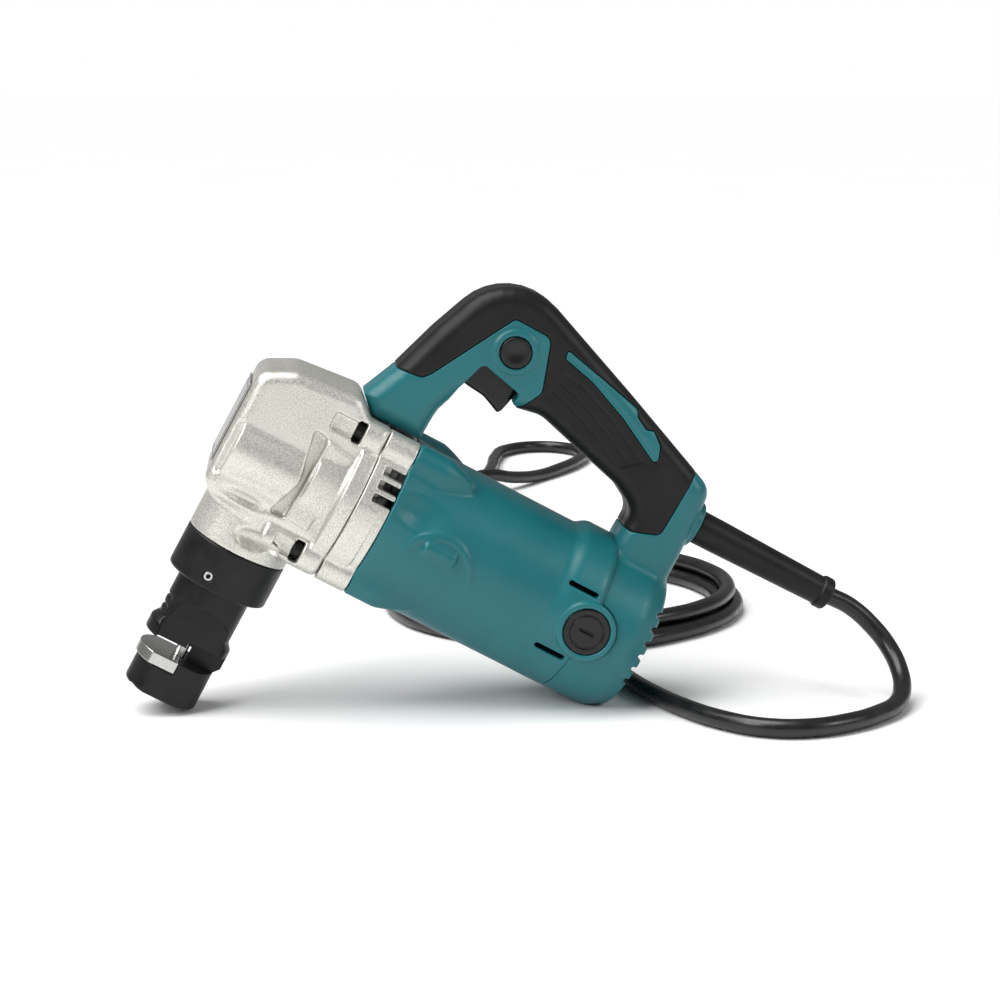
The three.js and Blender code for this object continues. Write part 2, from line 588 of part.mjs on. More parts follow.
// ---- cord ----
const CORD_START = [278.6, 0, GUARD_Z]; // in the tool's frame
const CORD_FRONT = [ // in the model's frame, as are the routes and places below
  [220, -0.5, 44.8], [231, -3.5, 35.2], [238.8, -10, 24.8], [241.8, -20, 15.6], [240, -32.5, 9],
  [233.5, -46, 5.6], [221, -60, 5], [203, -73, 5], [181, -80.5, 5], [161, -77.5, 5], [144, -64, 5],
  [129, -41, 5], [116.5, -11, 5], [107, 24, 5], [102.5, 52, 5], [106, 74, 5], [114.5, 86.5, 5],
];
const COIL = { x: 98, y: 197, inside: 80, outside: 106.5, height: 19.5 };
const CORD_BACK = [
  [61, 301, 8], [47, 322, 5], [40, 352, 5], [44, 400, 5], [57, 460, 5], [74, 530, 5], [88, 600, 5],
  [98, 650, 5], [105, 695, 5], [117, 729, 5], [144, 745, 5], [171, 731, 5], [178, 702, 5],
  [169, 671, 5], [152, 639, 5], [130, 608, 5], [108, 580, 9], [84, 560, 14.5], [58, 546, 9],
  [34, 532, 5], [12, 512, 5], [-4, 485, 5], [-17, 450, 6], [-26, 420, 7.4], [-28, 395, 8.5],
];
const PLUG_AT = [-28, 392.5, 8.2];

function cordTube(route) {
  const curve = new THREE.CatmullRomCurve3(route.map((p) => new THREE.Vector3(...p)), false, 'centripetal');
  return alongCurve(curve, CORD_R, 8, Math.round(curve.getLength() / (5.4 * CORD_R)));
}
const coil = () => turnedZ(ring(COIL.inside, COIL.outside, 0.2, COIL.height), COIL.x, COIL.y, ROUND);
const guard = () => turnedX([
  [0, 190.3], [8.9, 190.3], [8.9, 193.1], [6.2, 193.1], [6.2, 199.5], [8.6, 199.5], [7.4, 272.5],
  [8.4, 273.5], [8.4, 277], [7.6, 278], [0, 278],
], 0, GUARD_Z, 12);
const plugBody = () => join(
  box(-12, 12, -34, -8, -8, 8),
  turnedY([[0, -9], [7.8, -9], [5.5, -0.4], [0, -0.4]], 0, 0, 12),
);
const plugBlade = (x) => box(x - 0.75, x + 0.75, -51.5, -34.3, -3.1, 3.1);

// ---- the assembly ----
function add(parent, name, shape, material, at = [0, 0, 0]) {
  const piece = mesh(name, shape, material);
  piece.position.set(...at);
  parent.add(piece);
}

function gearHead() {
  const head = new THREE.Group();
  add(head, 'gear_housing', gearHousing(), aluminium);
  add(head, 'bearing_box', bearingBox(), aluminium);
  add(head, 'front_plate', box(FRONT_X - 1.1, FRONT_X - GAP, -21, 21, -12, 30), steel);
  BOLTS.forEach(([y, z], k) => add(head, `housing_bolt_${k + 1}`, housingBolt(), oxide, [BOLT_HEAD_X, y, z]));
  add(head, 'crankshaft', crankshaft(), gearSteel);
  add(head, 'crank_gear', gear(TEETH.crankGear, 31, 37, 6.3), gearSteel, [0, 0, CRANK_Z]);
  [14, 22.5].forEach((x, k) => {
    add(head, `crank_bearing_${k + 1}`, ballBearing(7.7, 15.8, 0, 7), steel, [x, 0, CRANK_Z]);
  });
  const pinion = gear(TEETH.middlePinion, 31, 37.2, 0, Math.PI / TEETH.middlePinion);
  add(head, 'intermediate_shaft', join(pinion, rodX(3.9, 25, 51, 0, 0, 12)), gearSteel, [0, 0, MIDDLE_Z]);
  const wheel = gear(TEETH.middleGear, 39.8, 45.6, 4.2, Math.PI / TEETH.middleGear);
  add(head, 'intermediate_gear', wheel, gearSteel, [0, 0, MIDDLE_Z]);
  add(head, 'slider_bush', turnedZ(ring(8.3, 11.8, -56.5, -30), 0, 0, 16), bronze);
  add(head, 'slider', slider(), gearSteel);
  add(head, 'punch', punch(), steel);
  add(head, 'punch_screw', punchScrew(), oxide);
  add(head, 'lock_nut', lockNut(), oxide);
  add(head, 'lock_nut_screw', lockNutScrew(), steel);
  add(head, 'die_holder', dieHolder(), oxide);
  add(head, 'die', die(), steel);
  DIE_BOLT_Y.forEach((y, k) => add(head, `die_bolt_${k + 1}`, dieBolt(), oxide, [DIE_BOLT_X, y, 0]));
  return head;
}

function brushGear(side) {
  const group = new THREE.Group();
  group.position.x = BRUSH_X;
  group.rotation.z = side === 'left' ? Math.PI : 0;
  add(group, `brush_holder_${side}`, brushHolder(), brass);
  add(group, `carbon_brush_${side}`, carbonBrush(), carbon);
  add(group, `brush_cap_${side}`, brushCap(), black);
  return group;
}

function motor() {
  const group = new THREE.Group();
  add(group, 'motor_housing', motorHousing(), teal);
  add(group, 'field_stator', stator(), lamination);
  add(group, 'armature_shaft', armatureShaft(), gearSteel);
  add(group, 'armature_core', armatureCore(), lamination);
  add(group, 'armature_windings_front', windings(84, 94.7), copper);
  add(group, 'armature_windings_rear', windings(140.3, 152), copper);
  add(group, 'commutator', commutator(), copper);
  add(group, 'cooling_fan', fan(), inner);
  add(group, 'air_baffle', airBaffle(), inner);
  add(group, 'front_bearing', ballBearing(5.2, 12.8, 47.5, 54), steel);
  add(group, 'rear_bearing', ballBearing(4.2, 10.8, 180.6, 186.6), steel);
  group.add(brushGear('left'), brushGear('right'));
  return group;
}

function handle() {
  const group = new THREE.Group();
  const shells = handleShells();
  const skins = gripSkins();
  for (const side of ['left', 'right']) {
    add(group, `handle_${side}`, shells[side], teal);
    add(group, `grip_${side}`, skins[side], rubber);
  }
  HANDLE_SCREWS.forEach(([x, z, y], k) => {
    add(group, `handle_screw_${k + 1}`, handleScrew(y), oxide, [x, 0, z]);
  });
  add(group, 'trigger', trigger(), black);
  add(group, 'trigger_spring', alongCurve(new Helix(2.6, 3.5, 5.2), 0.45, 5, 24), steel, [79, 0, 92.6]);
  add(group, 'lock_button', lockButton(), black, [BUTTON[0], 0, BUTTON[1]]);
  add(group, 'switch_body', switchBody(), inner);
  add(group, 'cord_guard', guard(), rubber);
  return group;
}

const tool = new THREE.Group();
tool.rotation.y = THREE.MathUtils.degToRad(TILT);
tool.position.set(-MIDDLE_X, 0, LIFT);
tool.add(gearHead(), motor(), handle());

const nibbler = new THREE.Group();
nibbler.add(tool);
nibbler.updateMatrixWorld(true);
const cordStart = tool.localToWorld(new THREE.Vector3(...CORD_START)).toArray();
add(nibbler, 'power_cord', cordTube([cordStart, ...CORD_FRONT]), cordBlack);
add(nibbler, 'cord_coil', coil(), cordBlack);
add(nibbler, 'cord_tail', cordTube(CORD_BACK), cordBlack);
add(nibbler, 'plug', plugBody(), rubber, PLUG_AT);
[-6.35, 6.35].forEach((x, k) => add(nibbler, `plug_blade_${k + 1}`, plugBlade(x), brass, PLUG_AT));

export default nibbler;
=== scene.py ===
"""A corded sheet-metal nibbler: the looks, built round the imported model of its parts.

Pieces with soft edges are sculpted as distance fields in the tool's own frame, in millimetres, with
x back along the motor's axis, y to the user's right and z up along the punch. TOOL takes them to the
model's frame in metres.
"""
import math

import bpy
import numpy as np
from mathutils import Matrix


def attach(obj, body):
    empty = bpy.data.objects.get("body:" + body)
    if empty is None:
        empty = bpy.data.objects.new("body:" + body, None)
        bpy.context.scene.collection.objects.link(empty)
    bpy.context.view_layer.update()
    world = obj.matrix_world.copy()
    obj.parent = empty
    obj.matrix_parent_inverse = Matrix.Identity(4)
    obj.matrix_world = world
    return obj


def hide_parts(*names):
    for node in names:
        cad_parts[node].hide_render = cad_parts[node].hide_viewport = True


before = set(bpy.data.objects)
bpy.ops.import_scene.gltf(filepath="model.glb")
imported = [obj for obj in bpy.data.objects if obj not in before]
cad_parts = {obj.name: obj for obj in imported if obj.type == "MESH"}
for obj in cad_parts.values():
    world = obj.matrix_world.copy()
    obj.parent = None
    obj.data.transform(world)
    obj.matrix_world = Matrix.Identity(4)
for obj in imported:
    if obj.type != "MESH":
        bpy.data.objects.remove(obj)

import openvdb as vdb
from mathutils import Matrix, Vector

for leftover in ("Cube", "Light", "Camera"):
    if leftover in bpy.data.objects:
        bpy.data.objects.remove(bpy.data.objects[leftover])
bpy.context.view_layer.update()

# ---- driving dimensions, as in the part's own source ----
MM = 0.001
TILT = math.radians(28.5)
TOOL = Matrix.Translation((-0.0671, 0, 0.1242)) @ Matrix.Rotation(TILT, 4, "Y") @ Matrix.Scale(MM, 4)
GAP = 0.3
SPLIT_X = 38  # gear housing to bearing box
BARREL_X = 54  # bearing box to motor housing
COVER_X = 166.3  # motor housing to rear cover
REAR_X = 199.5
BARREL_R = 40.3
WALL = 3.2
TOP_Z = 41.8  # the seat under the front of the handle
HEAD_HALF = 30
BOLTS = [(-22, 34), (22, 34), (-24, -31), (24, -31)]  # y, z
BOLT_HOLE_R = 2.9
BOSS_R = 8.6
CRANK_Z = -5
MIDDLE_Z = 21  # the intermediate shaft
STATOR_R = 36.5  # the bore of the motor housing
BRUSH_X = 166.6
CAP_R = 11.5
RING_R = 14.8
RING_Y = 42.5
NUT_R = 26
NUT_TOP, NUT_BOTTOM, NUT_SEAT = -46.8, -69, -63.3
NUT_SCREW = (-7, -62.5)  # x, z
HOLDER_R = 19
HOLDER_BOTTOM = -131
THROAT_TOP = -103
DIE_TOP, DIE_BOTTOM = -110, -116
PUNCH_R = 3
WEB_HALF = 2.7
FLAT_Y = 16
DIE_BOLTS = [(-11, -9), (-11, 9)]
GRIP_HALF = 17.5
SKIN = 2.4  # the thickness of the grip's rubber
BUTTON = (74.3, 102.4)  # x, z
BUTTON_R = 7.7
SCREWS = [(37, 57, 15), (50, 111, 14), (150, 85, 14), (189, 27, 26)]  # x, z and how far out the head is
GUARD_Z = 67
CORD_R = 4.6
PIN_R = 1.9
DIE_SCREW_R = 2.4
DIE_SCREW_HEAD_R = 4.4

# ---- camera ----
AZIMUTH = math.radians(-5.58)
ELEVATION = math.radians(10.82)
data = bpy.data.cameras.new("camera")
data.lens = 80.28
data.sensor_width = 36
camera = bpy.data.objects.new("camera", data)
camera.location = (-0.065, -1.0857, 0.3114)
camera.rotation_euler = (math.pi / 2 - ELEVATION, 0, AZIMUTH)
bpy.context.scene.collection.objects.link(camera)
bpy.context.scene.camera = camera


# ---- materials ----
class Paint:
    """A Principled material, with short ways to add the nodes that the finishes share."""

    def __init__(self, name, roughness, metallic=0.0, **sockets):
        self.material = bpy.data.materials.new(name)
        self.material.use_nodes = True
        self.tree = self.material.node_tree
        self.shader = self.tree.nodes["Principled BSDF"]
        self.shader.inputs["Roughness"].default_value = roughness
        self.shader.inputs["Metallic"].default_value = metallic
        for socket, value in sockets.items():
            self.shader.inputs[socket.replace("_", " ")].default_value = value
        self.place = self.add("ShaderNodeTexCoord").outputs["Object"]
        self.normal = None

    def add(self, kind, inputs=(), **settings):
        made = self.tree.nodes.new(kind)
        for key, value in settings.items():
            setattr(made, key, value)
        for key, value in dict(inputs).items():
            if isinstance(value, bpy.types.NodeSocket):
                self.tree.links.new(value, made.inputs[key])
            else:
                made.inputs[key].default_value = value
        return made

    def link(self, output, socket):
        self.tree.links.new(output, self.shader.inputs[socket])

    def along(self, scale=(1, 1, 1)):
        """The place in the tool's frame, stretched."""
        turned = self.add("ShaderNodeMapping", {"Vector": self.place, "Rotation": (0, -TILT, 0)})
        return self.add("ShaderNodeMapping", {"Vector": turned.outputs[0], "Scale": scale}).outputs[0]

    def noise(self, scale, detail=3.0, place=None):
        inputs = {"Vector": place or self.place, "Scale": scale, "Detail": detail, "Roughness": 0.55}
        return self.add("ShaderNodeTexNoise", inputs).outputs[0]

    def between(self, value, low, high, out_low=0.0, out_high=1.0):
        inputs = {"Value": value, "From Min": low, "From Max": high, "To Min": out_low, "To Max": out_high}
        return self.add("ShaderNodeMapRange", inputs).outputs[0]

    def mix(self, factor, first, second):
        """A blend of two colours: each is a node's output or three numbers."""
        node = self.add("ShaderNodeMix", data_type="RGBA")
        for index, value in ((0, factor), (6, first), (7, second)):
            if isinstance(value, bpy.types.NodeSocket):
                self.tree.links.new(value, node.inputs[index])
            else:
                node.inputs[index].default_value = value if index == 0 else (*value, 1)
        return node.outputs[2]

    def edges(self, low, high):
        """1 on convex edges, from a pointiness of low to one of high."""
        return self.between(self.add("ShaderNodeNewGeometry").outputs["Pointiness"], low, high)

    def bump(self, height, strength, depth):
        """Raises the surface by up to depth metres."""
        inputs = {"Height": height, "Strength": strength, "Distance": depth}
        node = self.add("ShaderNodeBump", inputs)
        if self.normal is not None:
            self.tree.links.new(self.normal, node.inputs["Normal"])
        self.normal = node.outputs[0]
        self.tree.links.new(self.normal, self.shader.inputs["Normal"])


def cast_aluminium():
    paint = Paint("cast_aluminium", 0.4, 0.8)
    grain = paint.noise(1500, 2)
    speck = paint.noise(3200, 1)
    base = paint.mix(paint.between(paint.noise(45), 0.35, 0.7), (0.52, 0.51, 0.455), (0.62, 0.61, 0.56))
    colour = paint.mix(paint.between(grain, 0.42, 0.6), base, (0.76, 0.75, 0.7))
    colour = paint.mix(paint.between(speck, 0.62, 0.7, 0, 0.6), colour, (0.3, 0.29, 0.24))
    paint.link(colour, "Base Color")
    paint.link(paint.between(grain, 0.3, 0.7, 0.34, 0.52), "Roughness")
    paint.bump(grain, 0.5, 0.00012)
    paint.bump(speck, 0.25, 0.00006)
    return paint.material


def teal_moulding():
    paint = Paint("teal_moulding", 0.38, Specular_IOR_Level=0.42)
    grain = paint.noise(2600, 2)
    cloud = paint.noise(22, 2)
    colour = paint.mix(paint.between(cloud, 0.35, 0.65), (0.0055, 0.118, 0.135), (0.0075, 0.136, 0.153))
    # Painted highlight: convex edges are lightened towards a paler teal, standing in for light catching the
    # rounded edges.
    colour = paint.mix(paint.between(paint.edges(0.52, 0.6), 0, 1, 0, 0.35), colour, (0.03, 0.24, 0.27))
    paint.link(colour, "Base Color")
    paint.link(paint.between(paint.noise(160), 0.3, 0.7, 0.33, 0.43), "Roughness")
    paint.bump(grain, 0.2, 0.00004)
    return paint.material


def grip_rubber():
    paint = Paint("grip_rubber", 0.5, Specular_IOR_Level=0.25)
    grain = paint.noise(1900, 3)
    cloud = paint.between(paint.noise(60), 0.35, 0.65)
    colour = paint.mix(cloud, (0.005, 0.0049, 0.0047), (0.0085, 0.0082, 0.0078))
    # Painted highlight: convex edges of the rubber are lightened, standing in for light catching the rounded
    # edges.
    colour = paint.mix(paint.between(paint.edges(0.52, 0.62), 0, 1, 0, 0.4), colour, (0.02, 0.02, 0.019))
    paint.link(colour, "Base Color")
    paint.link(paint.between(grain, 0.3, 0.7, 0.36, 0.52), "Roughness")
    paint.bump(grain, 0.35, 0.00008)
    return paint.material


def black_plastic():
    paint = Paint("black_plastic", 0.25, Specular_IOR_Level=0.35)
    colour = paint.mix(paint.noise(80), (0.004, 0.004, 0.0042), (0.008, 0.008, 0.008))
    paint.link(colour, "Base Color")
    paint.link(paint.between(paint.noise(220), 0.3, 0.7, 0.2, 0.34), "Roughness")
    paint.bump(paint.noise(1500, 2), 0.12, 0.00004)
    return paint.material


def black_oxide():
    paint = Paint("black_oxide", 0.34, 0.2, Specular_IOR_Level=0.3)
    cloud = paint.noise(90, 4)
    colour = paint.mix(paint.between(cloud, 0.3, 0.7), (0.006, 0.006, 0.0064), (0.013, 0.0128, 0.0125))
    paint.link(colour, "Base Color")
    paint.link(paint.between(cloud, 0.3, 0.7, 0.3, 0.44), "Roughness")
    paint.bump(paint.noise(1400, 2), 0.2, 0.00004)
    return paint.material


def machined(name, dark, light, roughness, direction=(1, 1, 12), scale=700):
    """Bright metal with fine marks across one way of the tool's frame."""
    paint = Paint(name, roughness, 1.0)
    marks = paint.noise(scale, 3, paint.along(direction))
    paint.link(paint.mix(paint.between(marks, 0.3, 0.7), dark, light), "Base Color")
    paint.link(paint.between(marks, 0.3, 0.7, roughness * 0.75, roughness * 1.3), "Roughness")
    paint.bump(marks, 0.15, 0.00003)
    return paint.material


def lamination():
    """Stacked steel sheets, half a millimetre each."""
    paint = Paint("lamination", 0.45, 0.9)
    inputs = {"Vector": paint.along(), "Scale": 310, "Distortion": 0.3}
    sheets = paint.add("ShaderNodeTexWave", inputs, wave_type="BANDS", bands_direction="X").outputs[1]
    paint.link(paint.mix(sheets, (0.06, 0.06, 0.065), (0.25, 0.25, 0.26)), "Base Color")
    paint.bump(sheets, 0.5, 0.0001)
    return paint.material


def copper():
    """Wound wire, in bundles."""
    paint = Paint("copper", 0.32, 1.0, Coat_Weight=0.5, Coat_Roughness=0.15)
    inputs = {"Vector": paint.along((0.25, 1, 1)), "Scale": 330, "Distortion": 4, "Detail": 1}
    wires = paint.add("ShaderNodeTexWave", inputs, wave_type="RINGS", rings_direction="X").outputs[1]
    paint.link(paint.mix(wires, (0.24, 0.07, 0.02), (0.75, 0.3, 0.13)), "Base Color")
    paint.bump(wires, 0.6, 0.0002)
    return paint.material


def carbon():
    paint = Paint("carbon", 0.6, 0.1)
    paint.link(paint.mix(paint.noise(1200), (0.01, 0.01, 0.011), (0.04, 0.04, 0.042)), "Base Color")
    paint.bump(paint.noise(900), 0.3, 0.00005)
    return paint.material


def inner_plastic():
    paint = Paint("inner_plastic", 0.5)
    paint.link(paint.mix(paint.noise(50), (0.018, 0.018, 0.02), (0.032, 0.032, 0.034)), "Base Color")
    paint.bump(paint.noise(1300, 2), 0.2, 0.00005)
    return paint.material


def cord_sheath():
    paint = Paint("cord_sheath", 0.3, Specular_IOR_Level=0.5)
    cloud = paint.noise(130, 3)
    paint.link(paint.mix(paint.between(cloud, 0.3, 0.7), (0.0045, 0.0045, 0.0047), (0.009, 0.009, 0.009)),
               "Base Color")
    paint.link(paint.between(cloud, 0.3, 0.7, 0.24, 0.38), "Roughness")
    paint.bump(paint.noise(420, 2), 0.15, 0.0001)
    return paint.material


FINISHES = {
    "cast_aluminium": cast_aluminium(),
    "teal_moulding": teal_moulding(),
    "grip_rubber": grip_rubber(),
    "black_plastic": black_plastic(),
    "black_oxide": black_oxide(),
    "bright_steel": machined("bright_steel", (0.42, 0.42, 0.41), (0.62, 0.61, 0.59), 0.26),
    "bearing_steel": machined("bearing_steel", (0.5, 0.5, 0.5), (0.66, 0.66, 0.65), 0.2, (12, 1, 1)),
    "gear_steel": machined("gear_steel", (0.3, 0.3, 0.29), (0.45, 0.45, 0.44), 0.34, (1, 6, 6)),
    "copper": copper(),
    "lamination": lamination(),
    "carbon": carbon(),
    "brass": machined("brass", (0.55, 0.36, 0.12), (0.72, 0.5, 0.2), 0.28, (1, 8, 1)),
    "bronze": machined("bronze", (0.4, 0.24, 0.1), (0.55, 0.35, 0.16), 0.4, (5, 5, 1)),
    "inner_plastic": inner_plastic(),
    "cord_sheath": cord_sheath(),
}
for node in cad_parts.values():
    for spot in node.material_slots:
        spot.material = FINISHES[spot.material.name.split(".")[0]]


# ---- distance fields: negative inside, in millimetres ----
def both(a, b, r=0.0):
    """Where both are: the edge between them is rounded by r."""
    if r == 0:
        return np.maximum(a, b)
    return np.minimum(np.maximum(a, b), -r) + np.hypot(np.maximum(a + r, 0), np.maximum(b + r, 0))


def either(a, b, r=0.0):
    """Where either is: the corner between them is filled by r."""
    return -both(-a, -b, r)


def without(a, b, r=0.0):
    return both(a, -b, r)


def any_of(first, *others):
    for other in others:
        first = np.minimum(first, other)
    return first


def slab(c, low, high):
    return np.abs(c - (low + high) / 2) - (high - low) / 2


def block(p, x0, x1, y0, y1, z0, z1, r=0.0):
    far, near = 0.0, -1e9
    for c, low, high in zip(p, (x0, y0, z0), (x1, y1, z1)):
        d = slab(c, low, high) + r
        far = far + np.maximum(d, 0) ** 2
        near = np.maximum(near, d)
    return np.sqrt(far) + np.minimum(near, 0) - r


def rod(p, axis, r, low, high, at=(0, 0), edge=0.0):
    """A round bar along axis 0, 1 or 2, about a place on the other two."""
    u, v = (p[k] for k in range(3) if k != axis)
    return both(np.hypot(u - at[0], v - at[1]) - r, slab(p[axis], low, high), edge)


def turned(p, axis, profile, at=(0, 0)):
    """A solid of revolution: profile is [radius, place along the axis, corner radius]."""
    u, v = (p[k] for k in range(3) if k != axis)
    return polygon(profile, np.hypot(u - at[0], v - at[1]), p[axis])


def egg(p, at, radii):
    """An ellipsoid, near enough to a distance close to its surface."""
    q = [(c - a) / r for c, a, r in zip(p, at, radii)]
    return (np.sqrt(q[0] ** 2 + q[1] ** 2 + q[2] ** 2) - 1) * min(radii)


ARC = math.radians(12)


def rounded(corners):
    """The points of the outline through corners [u, v, radius], with each radius as an arc."""
    points = []
    for k, (u, v, *radius) in enumerate(corners):
        here = Vector((u, v))
        into = (here - Vector(corners[k - 1][:2])).normalized()
        onward = (Vector(corners[(k + 1) % len(corners)][:2]) - here).normalized()
        turn = math.atan2(into.x * onward.y - into.y * onward.x, into.dot(onward))
        if not radius or abs(turn) < 0.02:
            points.append(here)
            continue
        start = here - into * radius[0] * math.tan(abs(turn) / 2)
        centre = start + Vector((-into.y, into.x)) * math.copysign(radius[0], turn)
        steps = math.ceil(abs(turn) / ARC)
        for n in range(steps + 1):
            points.append(centre + Matrix.Rotation(turn * n / steps, 2) @ (start - centre))
    return points


def polygon(corners, u, v):
    """The distance to an outline in the plane of u and v."""
    points = rounded(corners)
    u, v = np.broadcast_arrays(u, v)
    nearest = np.full(u.shape, 1e12, np.float32)
    inside = np.zeros(u.shape, bool)
    for a, b in zip(points, points[1:] + points[:1]):
        e = b - a
        if e.length_squared < 1e-9:
            continue
        t = np.clip(((u - a.x) * e.x + (v - a.y) * e.y) / e.length_squared, 0, 1)
        nearest = np.minimum(nearest, (u - a.x - t * e.x) ** 2 + (v - a.y - t * e.y) ** 2)
        if e.y:
            inside ^= ((a.y <= v) != (b.y <= v)) & (u < a.x + (v - a.y) * (e.x / e.y))
    return np.where(inside, -1, 1) * np.sqrt(nearest)


# ---- pieces ----
def surface(name, points, faces, body, slot):
    """A mesh object, smooth shaded, that rides on a body."""
    data = bpy.data.meshes.new(f"{name}_look")
    data.vertices.add(len(points))
    data.vertices.foreach_set("co", np.ascontiguousarray(points, np.float32).ravel())
    data.loops.add(faces.size)
    data.loops.foreach_set("vertex_index", np.ascontiguousarray(faces, np.int32).ravel())
    data.polygons.add(len(faces))
    data.polygons.foreach_set("loop_start", np.arange(0, faces.size, 4, dtype=np.int32))
    data.update(calc_edges=True)
    data.validate()
    data.shade_smooth()
    data.materials.append(FINISHES[slot])
    made = bpy.data.objects.new(f"{name}_look", data)
    bpy.context.scene.collection.objects.link(made)
    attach(made, body)
    return made


ROWS = np.array(TOOL)


def sculpt(name, body, slot, low, high, step, field, at=ROWS):
    """Samples a field on a grid from low to high and makes its surface the piece."""
    axes = [np.arange(a - 2 * step, b + 3 * step, step, dtype=np.float32) for a, b in zip(low, high)]
    p = np.meshgrid(*axes, indexing="ij", sparse=True)
    shape = tuple(len(a) for a in axes)
    d = np.clip(np.broadcast_to(field(p), shape) / step, -3, 3).astype(np.float32)
    grid = vdb.FloatGrid(3.0)
    grid.copyFromArray(np.ascontiguousarray(d))
    points, faces = grid.convertToQuads(isovalue=0.0)
    points = points * step + np.array([a[0] for a in axes])
    a, b, c, e = (points[faces[:, k]] for k in range(4))
    if np.einsum("ij,ij->", (a + b + c + e) / 4, np.cross(c - a, e - b)) < 0:
        faces = faces[:, ::-1]
    world = points @ at[:3, :3].T + at[:3, 3]
    made = surface(name, world, faces, body, slot)
    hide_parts(name)
    return made


def bolt_holes(p, low, high):
    """The four housing bolts' holes, from low to high along the motor's axis."""
    return any_of(*[rod(p, 0, BOLT_HOLE_R, low, high, at) for at in BOLTS])


def gear_housing(p):
    """The cast head: the outline of its side, its neck and flange, and the hollows of the casting."""
    x, y, z = p
    a = np.abs(y)
    side = [
        (-31.2, -20, 7), (-31.2, 38, 8), (-15, 46.5, 12), (18.4, 50, 9), (27, TOP_Z, 3), (38, TOP_Z, 1),
        (38, -27, 1), (-24.5, -26, 9),
    ]
    outline = polygon(side, x, z)
    body = both(outline, a - HEAD_HALF, 6)
    neck = any_of(rod(p, 2, 26, -46.5, -10, edge=0.5), rod(p, 2, 22.6, -57, -40, edge=0.6))
    body = either(body, neck, 4)
    flange = rod(p, 0, BARREL_R + 0.7, 30, SPLIT_X, edge=0.8)
    body = either(body, either(flange, rod(p, 0, 34, 10, 34, (0, 3), 6), 3), 2)
    for by, bz in BOLTS:
        start = 13 if bz > 0 else 5
        body = either(body, rod(p, 0, BOSS_R, start, SPLIT_X, (by, bz), 3), 1.5)
    bulge = rod((x, a, z), 0, 15, -26, 10, (20.5, 0), 1)
    body = either(body, bulge, 2)
    notch = block((x, a, z), -31, -26.2, 28.5, 60, -14, 14, 1)
    body = without(body, notch, 0.8)
    groove = polygon([
        (4.6, 26.5, 2), (12.4, 24.5, 1), (14.6, 10, 14), (13.6, -8, 14), (11.4, -19.5, 1), (3.2, -20.5, 2),
        (6.8, -10, 12), (9.6, 0, 12), (7.6, 12, 12),
    ], x, z)
    body = without(body, both(groove, 25.8 - a, 1.4), 0.5)
    panel = polygon([(13.4, 24.2, 1), (27.4, 21.5, 1), (24.2, -20, 1), (11.8, -18.6, 1)], x, z)
    lean = 32 - 0.05 * (x - 10)
    body = either(body, both(both(panel, a - lean, 0.8), 24 - a), 0.4)
    dish = egg((x, a, z), (6, 27, -36.5), (12, 5, 5))
    body = without(body, dish, 1.2)
    scoop = egg((x, a, z), (-9, 32, -20), (13, 5, 3.6))
    body = without(body, scoop, 1.5)
    # Inside: the crank chamber, the bearings' and gears' places, the slider's bore and the bolts' channels.
    hollow = any_of(
        block(p, -23, 12, -21, 21, -24, 38, 3),
        block(p, -7, 7, -14.5, 14.5, -28, -20),
        rod(p, 0, 16.1, 10, 30, (0, CRANK_Z)),
        rod(p, 0, 22, 30, 40, (0, CRANK_Z)),
        rod(p, 0, 7.3, 30, 40, (0, MIDDLE_Z)),
        rod(p, 0, 17.8, 37, 40, (0, MIDDLE_Z)),
        rod(p, 0, 5.2, 24.5, 31, (0, MIDDLE_Z)),
        rod(p, 2, 12.2, -60, -20),
        bolt_holes(p, 10, 40),
    )
    for by, bz in BOLTS:
        way = abs(by)
        slot = block((x, a, z), 22.3, 26.9, way - 5, 60, bz - 5.6, bz + 5.6, 0.6)
        channel = block((x, a, z), 10 if bz > 0 else 12, 26.9, 27.6, 60, bz - 4.4, bz + 4.6, 1.5)
        hollow = any_of(hollow, slot, channel)
    body = without(body, hollow, 0.4)
    body = without(body, block(p, 26.5, 60, -60, 60, TOP_Z, 90), 0.5)
    return body


def bearing_box(p):
    x, y, z = p
    a = np.abs(y)
    x0, x1 = SPLIT_X + GAP, BARREL_X
    ring = np.hypot(y, z)
    body = rod(p, 0, BARREL_R + 0.7, x0, x1, edge=0.7)
    for at in BOLTS:
        body = either(body, rod(p, 0, BOSS_R, x0, x1, at, 0.7), 2)
    panel = polygon([(36, 6, 1), (49.8, 6, 1), (49.8, -28, 9), (36, -34, 1)], x, z)
    raised = both(both(panel, ring - 42, 0.7), both(15 - a, x0 - x))
    body = either(body, both(raised, slab(x, x0, x1)), 0.5)
    hollow = any_of(
        rod(p, 0, 17.8, x0 - 1, 46, (0, MIDDLE_Z)),
        rod(p, 0, 8.4, x0 - 1, 46),
        rod(p, 0, 6.2, 45, 56),
        rod(p, 0, 13.1, 47.2, 56),
        rod(p, 0, 5.2, 45, 51.5, (0, MIDDLE_Z)),
        without(without(rod(p, 0, STATOR_R, 48, 56), rod(p, 0, 16.5, 47, 57)),
                rod(p, 0, 8, 47, 56, (0, MIDDLE_Z))),
        bolt_holes(p, x0 - 1, x1 + 1),
    )
    body = without(body, hollow, 0.3)
    for vz in (24, 17.5, 11):
        body = without(body, block((x, a, z), 43.5, 60, 24, 60, vz - 2.1, vz + 2.1, 0.6), 0.5)
    return without(body, block(p, x0 - 5, x1 + 5, -60, 60, TOP_Z, 90), 0.5)


